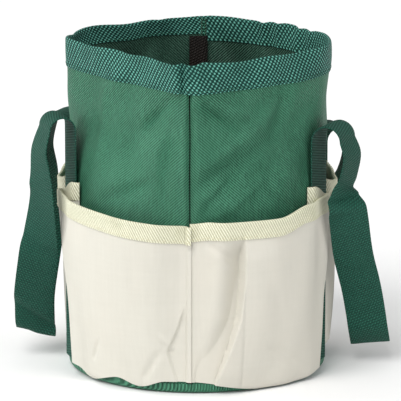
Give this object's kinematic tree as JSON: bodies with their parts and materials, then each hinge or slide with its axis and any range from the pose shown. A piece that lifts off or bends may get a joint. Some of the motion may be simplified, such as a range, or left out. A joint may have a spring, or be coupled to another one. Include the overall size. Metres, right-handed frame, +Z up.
{
  "type": "garden tool bag",
  "caption": "Soft round fabric tool bag with a bound open mouth, pockets all round and two webbing loop handles that hang outside.",
  "frame": {"origin": "middle of the underside of the base", "axes": "+Z up, front seam faces -Y, handles at -X and +X"},
  "size_m": [0.2888, 0.2142, 0.25],
  "materials": {
    "green_cloth": "dark green coated polyester oxford cloth with a fine diagonal rib, soft sheen",
    "rim_webbing": "teal green woven webbing with a fine staggered rib, slightly shiny",
    "strap_webbing": "dark green woven polypropylene webbing, slightly shiny",
    "cream_cloth": "cream polyester oxford cloth, matt, softly creased",
    "cream_binding": "pale cream ribbed binding tape",
    "dark_tape": "dark seam binding tape",
    "grey_board": "stiff plastic board"
  },
  "bodies": {
    "root": {"shell_left_panel": "green_cloth", "shell_right_panel": "green_cloth", "front_seam_tape": "dark_tape", "back_seam_tape": "dark_tape", "rim_webbing": "rim_webbing", "base_fabric": "green_cloth", "base_board": "grey_board", "base_seam_tape": "dark_tape", "front_left_pocket": "cream_cloth", "rear_left_pocket": "cream_cloth", "side_left_pocket": "cream_cloth", "front_right_pocket": "cream_cloth", "rear_right_pocket": "cream_cloth", "side_right_pocket": "cream_cloth", "front_left_pocket_binding": "cream_binding", "rear_left_pocket_binding": "cream_binding", "side_left_pocket_binding": "cream_binding", "front_right_pocket_binding": "cream_binding", "rear_right_pocket_binding": "cream_binding", "side_right_pocket_binding": "cream_binding", "left_front_strap_leg": "strap_webbing", "left_rear_strap_leg": "strap_webbing", "right_front_strap_leg": "strap_webbing", "right_rear_strap_leg": "strap_webbing", "left_front_strap_fold": "strap_webbing", "left_rear_strap_fold": "strap_webbing", "right_front_strap_fold": "strap_webbing", "right_rear_strap_fold": "strap_webbing"},
    "left_handle": {"left_handle": "strap_webbing"},
    "right_handle": {"right_handle": "strap_webbing"}
  },
  "joints": [
    {"name": "left_handle_swing", "type": "hinge", "parent": "root", "child": "left_handle", "pos_m": [-0.109, 0, 0.1813], "axis": [0, 1, 0], "range_deg": [0, 170], "deforming": ["left_front_strap_fold", "left_rear_strap_fold"]},
    {"name": "right_handle_swing", "type": "hinge", "parent": "root", "child": "right_handle", "pos_m": [0.1115, 0, 0.1755], "axis": [0, -1, 0], "range_deg": [0, 170], "deforming": ["right_front_strap_fold", "right_rear_strap_fold"]}
  ]
}
